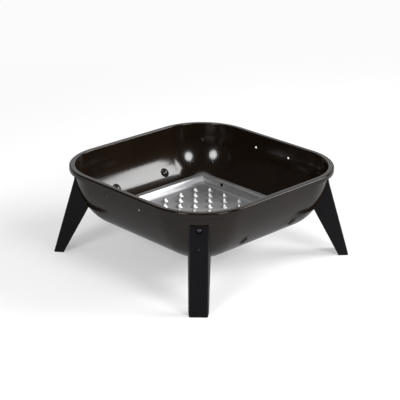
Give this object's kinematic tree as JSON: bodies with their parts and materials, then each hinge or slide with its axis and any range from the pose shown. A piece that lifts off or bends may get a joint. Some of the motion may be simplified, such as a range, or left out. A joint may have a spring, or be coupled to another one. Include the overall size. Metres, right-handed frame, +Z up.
{
  "type": "fire pit",
  "caption": "Low square fire bowl with rounded corners and a turned lip, on four splayed folded legs, with a lift-out pressed charcoal grate.",
  "frame": {"origin": "centre of the ground under the four feet", "axes": "+Z up; the bowl's four sides face X and Y, the handle holes are in the two X walls, and the legs stand on the diagonals"},
  "size_m": [0.3862, 0.3862, 0.1643],
  "materials": {
    "brown_enamel": "gloss",
    "black_paint": "satin",
    "pressed_aluminium": "satin",
    "zinc_steel": "satin"
  },
  "bodies": {
    "pit": {"fire_bowl": "brown_enamel", "leg_front_left": "black_paint", "leg_front_right": "black_paint", "leg_back_left": "black_paint", "leg_back_right": "black_paint", "screw_front_left": "zinc_steel", "screw_front_right": "zinc_steel", "screw_back_left": "zinc_steel", "screw_back_right": "zinc_steel", "nut_front_left": "zinc_steel", "nut_front_right": "zinc_steel", "nut_back_left": "zinc_steel", "nut_back_right": "zinc_steel"},
    "grate": {"charcoal_grate": "pressed_aluminium"}
  },
  "joints": [
    {"name": "grate_lift", "type": "slide", "parent": "pit", "child": "grate", "axis": [0, 0, 1], "range_m": [0, 0.12]}
  ]
}
